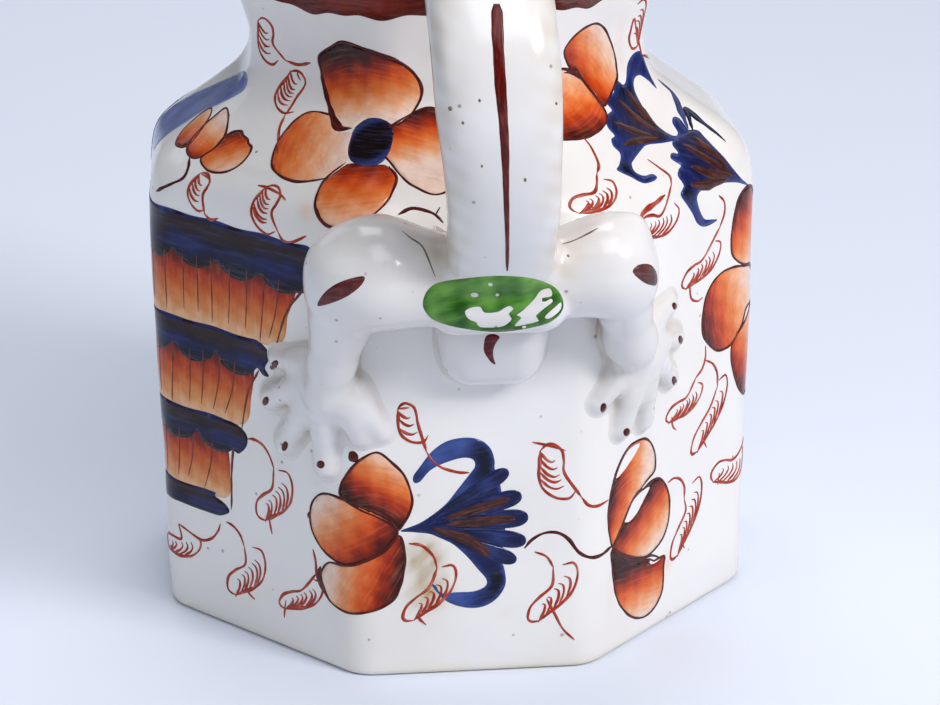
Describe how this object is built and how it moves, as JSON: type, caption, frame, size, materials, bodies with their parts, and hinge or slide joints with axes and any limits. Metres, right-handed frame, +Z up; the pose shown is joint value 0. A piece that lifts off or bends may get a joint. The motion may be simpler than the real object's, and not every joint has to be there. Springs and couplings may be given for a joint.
{
  "type": "cream jug",
  "caption": "Small eight-sided ironstone-type porcelain cream jug with a pouring lip, painted flowers and a lizard-shaped strap handle.",
  "frame": {"origin": "centre of the foot's underside, on the surface the jug stands on", "axes": "+Z up, +Y towards the spout, -Y towards the handle, +X to the right for someone looking at the handle"},
  "size_m": [0.084, 0.1129, 0.1113],
  "materials": {
    "glazed_porcelain": "glossy",
    "green_enamel_porcelain": "glossy"
  },
  "bodies": {
    "root": {"body_wall": "glazed_porcelain", "base_slab": "glazed_porcelain", "handle_strap": "glazed_porcelain", "head_terminal": "glazed_porcelain", "rump_pad": "green_enamel_porcelain", "tail_stub": "glazed_porcelain", "left_leg": "glazed_porcelain", "right_leg": "glazed_porcelain"}
  },
  "joints": []
}
